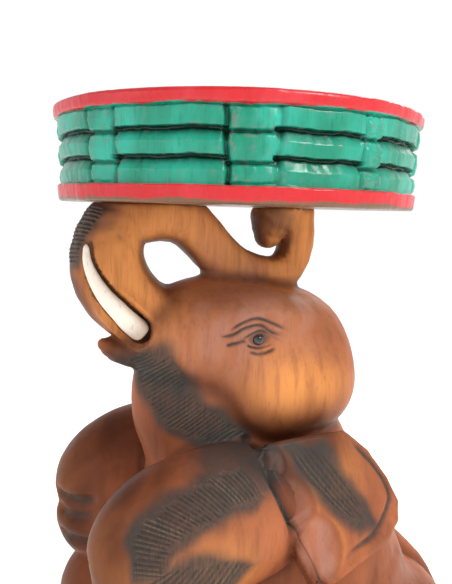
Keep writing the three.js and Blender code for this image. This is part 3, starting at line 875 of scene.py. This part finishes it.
def seat_inset(angle, height):
    """How far in from the tapering wall the carved surface lies."""
    drift = 0.9 * wander(angle[0], 0.11, 4) + 0.4 * wander(angle[0], 0.5, 5)
    level = height + drift * smoothstep(5, 13, height) * (1 - smoothstep(68, 72, height))
    inset = np.interp(level, *np.transpose(BAR_PROFILE))
    swollen = np.interp(level, *np.transpose(KNUCKLE_PROFILE))
    in_band = smoothstep(BAND[0], BAND[0] + 0.8, level)
    in_band *= 1 - smoothstep(BAND[1] - 1.2, BAND[1], level)
    for number, (centre, half, kind) in enumerate(JOINTS):
        sway = 0.7 * np.sin(0.34 * level + number)
        gap = angle_gap(angle, centre + sway)
        share = 1 - smoothstep(half - 0.7, half + 0.7, np.abs(gap))
        inset += share * (swollen + in_band * joint_cut(kind, gap, level, number) - inset)
    for centre, half, depth in BAND_CUTS:
        lean = 0.02 * (level - 38) * np.sign(centre) + 0.3 * np.sin(0.2 * level + centre)
        gap = np.abs(angle_gap(angle, centre + lean))
        inset += depth * in_band * np.clip(1 - gap / half, 0, 1)
    return inset


def seat_wall(angle, height):
    """The carved wall's radius, with the knife's flats around the rims."""
    wall = SEAT_RADIUS - SEAT_TAPER * (1 - height / SEAT_THICKNESS)
    flats = 0.7 * wander(angle[0], 0.16, 6) - 0.35 * np.abs(wander(angle[0], 0.06, 7)) - 0.25
    spots = np.stack([angle * 0.55, height * 0.12, angle * 0], -1).reshape(-1, 3)
    skin = 0.35 * rough(spots, 1.0, 8).reshape(angle.shape)
    return wall + flats + skin - seat_inset(angle, height)


def seat_rows():
    """Heights of the wall's rows, closer together where the profile turns."""
    corners = np.array(BAR_PROFILE)
    travelled = travel(corners)
    return np.interp(np.linspace(0, travelled[-1], SEAT_ROWS), travelled, corners[:, 0])


CAP_RINGS = (0.93, 0.8, 0.62, 0.42, 0.2)


def seat_points():
    """Rings of points from the underside's middle, up the wall, to the top's middle."""
    turn = np.linspace(-180, 180, SEAT_TURNS, endpoint=False)
    angle, height = np.meshgrid(turn, seat_rows())
    radius = seat_wall(angle, height)
    under = [radius[0] * ring for ring in CAP_RINGS[::-1]]
    over = [radius[-1] * ring for ring in CAP_RINGS]
    radius = np.vstack([*under, radius, *over])
    caps = np.ones((len(CAP_RINGS), SEAT_TURNS))
    height = np.vstack([caps * 0, height, caps * SEAT_THICKNESS])
    heading = np.radians(turn + FACING)
    points = np.stack([radius * np.cos(heading), radius * np.sin(heading), SEAT_BOTTOM + height], -1)
    return points, radius, height


def convexity(radius):
    """How far each point stands out from its neighbours in the same column and row."""
    beside = (np.roll(radius, 3, 1) + np.roll(radius, -3, 1)) / 2
    above = np.vstack([radius[2:], radius[-1:], radius[-1:]])
    below = np.vstack([radius[:1], radius[:1], radius[:-2]])
    return radius - (above + below) / 2 + 0.8 * (radius - beside)


def ring_faces(rings, turns):
    """Faces between rings of points, and fans to the two points after them, one at each end."""
    index = np.arange(rings * turns).reshape(rings, turns)
    onward = np.roll(index, -1, 1)
    quads = np.stack([index[:-1], onward[:-1], onward[1:], index[1:]], -1).reshape(-1, 4)
    first, last = rings * turns, rings * turns + 1
    fans = [(after, before, first) for before, after in zip(index[0], onward[0])]
    fans += [(before, after, last) for before, after in zip(index[-1], onward[-1])]
    return quads.tolist() + fans


def seat_looks(radius, height):
    """Where the band is green, bare, worn at an edge, and darkened with painted shade in a groove."""
    turn = np.linspace(-180, 180, SEAT_TURNS, endpoint=False)
    waver = 1.1 * wander(turn, 0.12, 9) + 0.5 * wander(turn, 0.6, 10)
    band = smoothstep(BAND[0] - 0.2, BAND[0] + 0.3, height + waver * 0.5)
    band *= 1 - smoothstep(BAND[1] - 0.4, BAND[1] + 0.1, height + waver)
    bare = 1 - smoothstep(BARE_EDGE - 0.3, BARE_EDGE + 0.3, height + 1.6 * waver)
    edge = convexity(radius)
    edge[: len(CAP_RINGS)] = edge[-len(CAP_RINGS):] = 0
    sunk = SEAT_RADIUS - SEAT_TAPER * (1 - height / SEAT_THICKNESS) - radius
    # Painted shade, darker the further the wall is sunk into a groove.
    deep = smoothstep(3.4, 8.6, sunk) * band
    looks = {"band": (band, 0), "bare": (bare, 1), "edge": (np.clip(edge, 0, 1), 0), "deep": (deep, 0)}
    return {name: [*values.ravel(), underside, 0] for name, (values, underside) in looks.items()}


def carved_seat():
    points, radius, height = seat_points()
    middles = [(0, 0, SEAT_BOTTOM), (0, 0, SEAT_BOTTOM + SEAT_THICKNESS)]
    mesh = mesh_from("seat", np.vstack([points.reshape(-1, 3), middles]), ring_faces(*radius.shape))
    set_attributes(mesh, **seat_looks(radius, height))
    piece = add_object("seat", mesh)
    mesh.materials.append(seat_paint())
    place(piece, "seat_drum")


# ---- tusks, eyes, dowels


TUSK_RINGS, TUSK_SIDES, TUSK_FLATS = 60, 28, 0.03


def tusk_points(line, radii):
    """Rings around the tusk's middle line, slightly flattened by the knife, and its two ends."""
    heading = np.gradient(line, axis=0)
    heading /= np.linalg.norm(heading, axis=1)[:, None]
    across = np.cross(heading, [1.0, 0, 0])
    across /= np.linalg.norm(across, axis=1)[:, None]
    over = np.cross(across, heading)
    turn = np.linspace(0, 2 * np.pi, TUSK_SIDES, endpoint=False)[None, :, None]
    uneven = radii[:, None, None] * (1 + TUSK_FLATS * np.cos(5 * turn + 1))
    rings = line[:, None] + uneven * (np.cos(turn) * across[:, None] + np.sin(turn) * over[:, None])
    return np.vstack([rings.reshape(-1, 3), line[0], line[-1]])


def tusk(side, node, material):
    line = even_points(TUSK_STATIONS, TUSK_RINGS) * [side, 1, 1]
    part = np.linspace(0, 1, TUSK_RINGS)
    blunt = np.sqrt(np.clip((1.004 - part) * 30, 0, 1))
    radii = tusk_radius(part) * (1 + 0.03 * wander(part * 12, 1.0, 15)) * blunt
    faces = ring_faces(TUSK_RINGS, TUSK_SIDES)
    if side > 0:
        faces = [(face[0], *face[:0:-1]) for face in faces]
    mesh = mesh_from(node, tusk_points(line, radii), faces)
    set_attributes(mesh, rootward=[*np.repeat(1 - part, TUSK_SIDES), 1, 0])
    piece = add_object(f"{node}_look", mesh)
    mesh.materials.append(material)
    place(piece, node)


# Degrees from where the eye looks: the pupil's edge, and the shallow groove around it.
PUPIL_EDGE, GROOVE_IN, GROOVE_OUT, GROOVE_DEPTH = (22, 30), (20, 34), (36, 50), 0.02


def eye(side, node, material):
    """A polished bead with a darker pupil that looks sideways, inside a shallow groove."""
    mesh = bpy.data.meshes.new(node)
    ball = bmesh.new()
    bmesh.ops.create_icosphere(ball, subdivisions=5, radius=EYE_RADIUS)
    look = np.array([0.97 * side, -0.12, 0.12])
    inner = []
    for vertex in ball.verts:
        turned = np.degrees(np.arccos(np.clip(np.dot(vertex.co / EYE_RADIUS, look), -1, 1)))
        inner.append(1 - smoothstep(*PUPIL_EDGE, turned))
        groove = smoothstep(*GROOVE_IN, turned) * (1 - smoothstep(*GROOVE_OUT, turned))
        vertex.co *= 1 - GROOVE_DEPTH * groove
        vertex.co = (vertex.co + Vector(EYE_CENTRE * [side, 1, 1])) * MM
    ball.to_mesh(mesh)
    ball.free()
    mesh.shade_smooth()
    set_attributes(mesh, pupil=inner)
    piece = add_object(f"{node}_look", mesh)
    mesh.materials.append(material)
    place(piece, node)


# ---- materials


class Recipe:
    """A material's node tree, built up from left to right."""

    def __init__(self, name):
        self.material = bpy.data.materials.new(name)
        self.material.use_nodes = True
        self.nodes, self.links = self.material.node_tree.nodes, self.material.node_tree.links
        self.shader = self.nodes["Principled BSDF"]
        self.place = self.add("ShaderNodeTexCoord").outputs["Object"]

    def add(self, kind, **settings):
        node = self.nodes.new(kind)
        for name, value in settings.items():
            setattr(node, name, value)
        return node

    def feed(self, socket, value):
        """A socket gets another node's output, or a plain value."""
        if isinstance(value, bpy.types.NodeSocket):
            self.links.new(value, socket)
        elif isinstance(value, tuple) and len(value) == 3 and socket.type == "RGBA":
            socket.default_value = (*value, 1)
        else:
            socket.default_value = value

    def attribute(self, name):
        return self.add("ShaderNodeAttribute", attribute_name=name).outputs["Fac"]

    def filled(self, kind, **inputs):
        node = self.add(kind)
        for name, value in inputs.items():
            self.feed(node.inputs[name], value)
        return node

    def noise(self, scale, stretch=(1, 1, 1), detail=4.0, warp=0.0):
        """Noise over the object, in cycles per metre, drawn out along an axis by stretch."""
        mapping = self.filled("ShaderNodeMapping", Vector=self.place, Scale=stretch)
        return self.filled("ShaderNodeTexNoise", Vector=mapping.outputs["Vector"], Scale=scale,
                           Detail=detail, Distortion=warp).outputs["Fac"]

    def spread(self, value, low, high, to_low=0.0, to_high=1.0):
        """A value's range from low to high, spread from to_low to to_high."""
        node = self.add("ShaderNodeMapRange", interpolation_type="SMOOTHSTEP")
        for socket, given in zip(node.inputs, (value, low, high, to_low, to_high)):
            self.feed(socket, given)
        return node.outputs["Result"]

    def times(self, first, second):
        node = self.add("ShaderNodeMath", operation="MULTIPLY", use_clamp=True)
        self.feed(node.inputs[0], first)
        self.feed(node.inputs[1], second)
        return node.outputs[0]

    def mix(self, share, first, second):
        node = self.add("ShaderNodeMix", data_type="RGBA")
        for socket, given in ((0, share), (6, first), (7, second)):  # its colour sockets
            self.feed(node.inputs[socket], given)
        return node.outputs[2]

    def bump(self, height, strength, distance):
        node = self.filled("ShaderNodeBump", Height=height, Strength=strength, Distance=distance)
        self.links.new(node.outputs["Normal"], self.shader.inputs["Normal"])

    def finish(self, colour, roughness, specular=0.5, coat=0.0, coat_roughness=0.2):
        looks = {"Base Color": colour, "Roughness": roughness, "Specular IOR Level": specular,
                 "Coat Weight": coat, "Coat Roughness": coat_roughness}
        for name, value in looks.items():
            self.feed(self.shader.inputs[name], value)
        return self.material


WOOD_DARK, WOOD_MID, WOOD_LIGHT = linear(100, 56, 38), linear(148, 86, 58), linear(176, 102, 66)
# Yellow wood with painted highlight, the colour of painted shade, and dark staining with painted shade:
WOOD_GOLD, WOOD_DUSK, STAIN = linear(226, 148, 82), linear(82, 41, 25), linear(54, 60, 59)
# Painted greyish sheen and shade, and the pale of worn scratches:
SCOOP_GREY, SCRATCH = linear(176, 124, 106), linear(160, 138, 112)


def figure_wood():
    """Varnished brown wood: upright streaks, honey-coloured patches with painted highlights, dark
    staining in the cuts, and painted shade in folds, hollows, the crack and on undersides.
    """
    wood = Recipe("figure_wood")
    patches = wood.noise(17, (1, 1, 0.7), detail=3, warp=0.5)
    streaks = wood.noise(130, (1, 1, 0.12), detail=6, warp=0.4)
    colour = wood.mix(wood.spread(patches, 0.34, 0.62), WOOD_MID, WOOD_LIGHT)
    colour = wood.mix(wood.spread(patches, 0.36, 0.2, 0, 0.8), colour, WOOD_DARK)
    colour = wood.mix(wood.spread(streaks, 0.5, 0.72, 0, 0.3), colour, WOOD_DARK)
    # Lighter yellow wood with painted highlight.
    golden = wood.times(wood.attribute("gold"), wood.spread(streaks, 0.7, 0.4, 0.55, 1))
    colour = wood.mix(golden, colour, WOOD_GOLD)
    # Painted shade, darker in folds, in hollows, on undersides and at the listed places.
    hazy = wood.times(wood.attribute("dusk"), wood.spread(patches, 0.25, 0.6, 1, 0.75))
    colour = wood.mix(hazy, colour, WOOD_DUSK)
    # Painted greyish sheen on the head and painted greyish shade in the ear's hollows, mottled.
    mottled = wood.spread(wood.noise(46, (1, 1, 0.6), detail=4, warp=0.8), 0.38, 0.6, 0.3, 0.75)
    colour = wood.mix(wood.times(wood.attribute("grey"), mottled), colour, SCOOP_GREY)
    fine = wood.noise(800, (1, 1, 0.06), detail=5)
    colour = wood.mix(wood.spread(fine, 0.54, 0.75, 0, 0.3), colour, WOOD_DARK)
    # Dark staining in the cuts, and painted shade and shadow in the crack, the tusk's gap and the listed
    # patches.
    rubbed = wood.times(wood.attribute("stain"), wood.spread(fine, 0.2, 0.7, 1.1, 0.85))
    colour = wood.mix(rubbed, colour, STAIN)
    patchy = wood.spread(fine, 0.35, 0.6, 0.2, 0.8)
    scratched = wood.times(wood.attribute("scratch"), patchy)
    colour = wood.mix(scratched, colour, SCRATCH)
    wood.bump(wood.noise(420, (1, 1, 0.1), detail=5), 0.2, 0.0005)
    gloss = wood.spread(wood.noise(40), 0.3, 0.7, 0.36, 0.5)
    return wood.finish(colour, gloss, specular=0.09, coat=0.03, coat_roughness=0.25)


# The darkest green marks the grain and is the painted shade in the grooves.
GREEN_MID, GREEN_PALE, GREEN_DEEP = linear(8, 134, 104), linear(38, 174, 148), linear(4, 52, 38)
RED_MID, RED_PALE, RED_DEEP = linear(204, 28, 36), linear(226, 84, 94), linear(140, 14, 20)
BARE_WOOD, WORN_GREY = linear(120, 84, 58), linear(112, 122, 110)


def seat_paint():
    """Glossy red rims and a green band, brushed on thinly, worn at the edges, with painted shade in the
    grooves.
    """
    paint = Recipe("seat_paint")
    grain = paint.noise(520, (1, 1, 0.07), detail=5)
    cloud = paint.noise(26, (1, 1, 0.5), detail=3)
    green = paint.mix(paint.spread(cloud, 0.35, 0.68), GREEN_MID, GREEN_PALE)
    green = paint.mix(paint.spread(grain, 0.52, 0.75, 0, 0.3), green, GREEN_DEEP)
    # Painted shade in the grooves.
    green = paint.mix(paint.attribute("deep"), green, GREEN_DEEP)
    red = paint.mix(paint.spread(cloud, 0.42, 0.72, 0, 0.3), RED_MID, RED_PALE)
    red = paint.mix(paint.spread(grain, 0.55, 0.8, 0, 0.3), red, RED_DEEP)
    colour = paint.mix(paint.attribute("band"), red, green)
    flecks = paint.spread(paint.noise(170, detail=7), 0.5, 0.62)
    chips = paint.times(paint.attribute("edge"), flecks)
    worn = paint.times(chips, paint.spread(paint.attribute("band"), 0.2, 0.8, 0.15, 0.65))
    colour = paint.mix(worn, colour, WORN_GREY)
    colour = paint.mix(paint.attribute("bare"), colour, BARE_WOOD)
    paint.bump(grain, 0.3, 0.0005)
    gloss = paint.spread(cloud, 0.3, 0.7, 0.22, 0.42)
    return paint.finish(colour, gloss, specular=0.45, coat=0.1)


CREAM, CREAM_HAIR, CREAM_ROOT = linear(250, 238, 222), linear(200, 172, 142), linear(150, 112, 80)
BEAD_DARK, BEAD_MID, BEAD_PUPIL = linear(38, 34, 32), linear(62, 60, 58), linear(14, 12, 12)


def tusk_cream():
    """Polished cream with fine darker hairs, browner at the root."""
    cream = Recipe("tusk_cream")
    hairs = cream.noise(420, (1, 1, 0.25), detail=5)
    colour = cream.mix(cream.spread(hairs, 0.55, 0.75, 0, 0.45), CREAM, CREAM_HAIR)
    rooted = cream.spread(cream.attribute("rootward"), 0.75, 1.0, 0, 0.6)
    colour = cream.mix(rooted, colour, CREAM_ROOT)
    cream.bump(hairs, 0.2, 0.0004)
    return cream.finish(colour, cream.spread(hairs, 0.3, 0.7, 0.35, 0.5))


def eye_bead():
    bead = Recipe("eye_bead")
    cloud = bead.noise(600, detail=3)
    colour = bead.mix(bead.spread(cloud, 0.4, 0.65), BEAD_DARK, BEAD_MID)
    colour = bead.mix(bead.attribute("pupil"), colour, BEAD_PUPIL)
    return bead.finish(colour, bead.spread(cloud, 0.3, 0.7, 0.08, 0.2), coat=0.6)


def dowel_wood():
    wood = Recipe("dowel_wood")
    streaks = wood.noise(500, (1, 1, 0.08), detail=4)
    colour = wood.mix(wood.spread(streaks, 0.35, 0.65), linear(206, 170, 122), linear(176, 136, 92))
    wood.bump(streaks, 0.25, 0.0004)
    return wood.finish(colour, wood.spread(streaks, 0.3, 0.7, 0.55, 0.75))


def finish_dowels():
    material = dowel_wood()
    for name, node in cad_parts.items():
        if name.endswith("dowel"):
            node.data.materials.clear()
            node.data.materials.append(material)


# ---- floor, light, camera


FLOOR_GLOW, FLOOR_REACH = 0.6, 60000


def floor():
    corners = np.array([(-1, -1, 0), (1, -1, 0), (1, 1, 0), (-1, 1, 0)]) * FLOOR_REACH
    mesh = mesh_from("floor", corners, [(0, 1, 2, 3)])
    sheet = add_object("floor", mesh)
    pale = Recipe("floor_pale")
    looks = {"Base Color": linear(240, 240, 240), "Roughness": 0.9,
             "Emission Color": (1.0, 1.0, 1.0), "Emission Strength": FLOOR_GLOW}
    for name, value in looks.items():
        pale.feed(pale.shader.inputs[name], value)
    mesh.materials.append(pale.material)


LIT_POINT = Vector((0, 0, 0.35))


def panel(name, where, size, power):
    """A soft square light that faces the object. Lengths in metres."""
    light = bpy.data.lights.new(name, "AREA")
    light.shape, light.size, light.energy = "SQUARE", size, power
    lamp = add_object(name, light)
    lamp.location = where
    lamp.rotation_euler = (LIT_POINT - where).to_track_quat("-Z", "Y").to_euler()


VIEW_AZIMUTH, VIEW_PITCH, VIEW_ROLL = math.radians(68.0), math.radians(6.5), -0.03
CAMERA_DISTANCE, CAMERA_HEIGHT, CAMERA_ASIDE = 0.600, 0.4555, -0.0055
LENS, SENSOR, FAR_CLIP = 43.64, 36, 200
RIGHT = Vector((math.cos(VIEW_AZIMUTH), math.sin(VIEW_AZIMUTH), 0))
TOWARD = Vector((math.sin(VIEW_AZIMUTH), -math.cos(VIEW_AZIMUTH), 0))
UP = Vector((0, 0, 1))


def camera():
    ahead = -TOWARD * math.cos(VIEW_PITCH) - UP * math.sin(VIEW_PITCH)
    over = -TOWARD * math.sin(VIEW_PITCH) + UP * math.cos(VIEW_PITCH)
    across = RIGHT * math.cos(VIEW_ROLL) - over * math.sin(VIEW_ROLL)
    upright = RIGHT * math.sin(VIEW_ROLL) + over * math.cos(VIEW_ROLL)
    data = bpy.data.cameras.new("camera")
    data.lens, data.sensor_width, data.clip_end = LENS, SENSOR, FAR_CLIP
    eye_point = add_object("camera", data)
    turn = Matrix((across, upright, -ahead)).transposed().to_4x4()
    where = TOWARD * CAMERA_DISTANCE + UP * CAMERA_HEIGHT + RIGHT * CAMERA_ASIDE
    eye_point.matrix_world = Matrix.Translation(where) @ turn
    bpy.context.scene.camera = eye_point


SKY_FADE, SKY_TOP, SKY_WALL = (0.32, 0.55), 0.4, 1.02  # white walls under a dimmer ceiling


def studio():
    world = bpy.data.worlds.new("studio")
    world.use_nodes = True
    nodes, links = world.node_tree.nodes, world.node_tree.links
    split = nodes.new("ShaderNodeSeparateXYZ")
    links.new(nodes.new("ShaderNodeTexCoord").outputs["Generated"], split.inputs[0])
    fade = nodes.new("ShaderNodeMapRange")
    links.new(split.outputs["Z"], fade.inputs["Value"])
    ends = {"From Min": SKY_FADE[0], "From Max": SKY_FADE[1], "To Min": SKY_WALL, "To Max": SKY_TOP}
    for name, value in ends.items():
        fade.inputs[name].default_value = value
    links.new(fade.outputs["Result"], nodes["Background"].inputs["Strength"])
    nodes["Background"].inputs["Color"].default_value = (1, 1, 1, 1)
    bpy.context.scene.world = world
    bpy.context.scene.view_settings.view_transform = "Standard"
    panel("key", TOWARD * 0.9 + RIGHT * 0.9 + UP * 1.5, 0.6, 18)
    panel("side", TOWARD * 0.8 - RIGHT * 1.5 + UP * 0.9, 0.8, 2)
    panel("back", -TOWARD * 1.4 + RIGHT * 0.6 + UP * 1.4, 1.0, 8)
    floor()


# ---- the scene

carved_elephant()
carved_seat()
ivory, bead = tusk_cream(), eye_bead()
for side, name in ((1, "left"), (-1, "right")):
    tusk(side, f"{name}_tusk", ivory)
    eye(side, f"{name}_eye", bead)
finish_dowels()
studio()
camera()
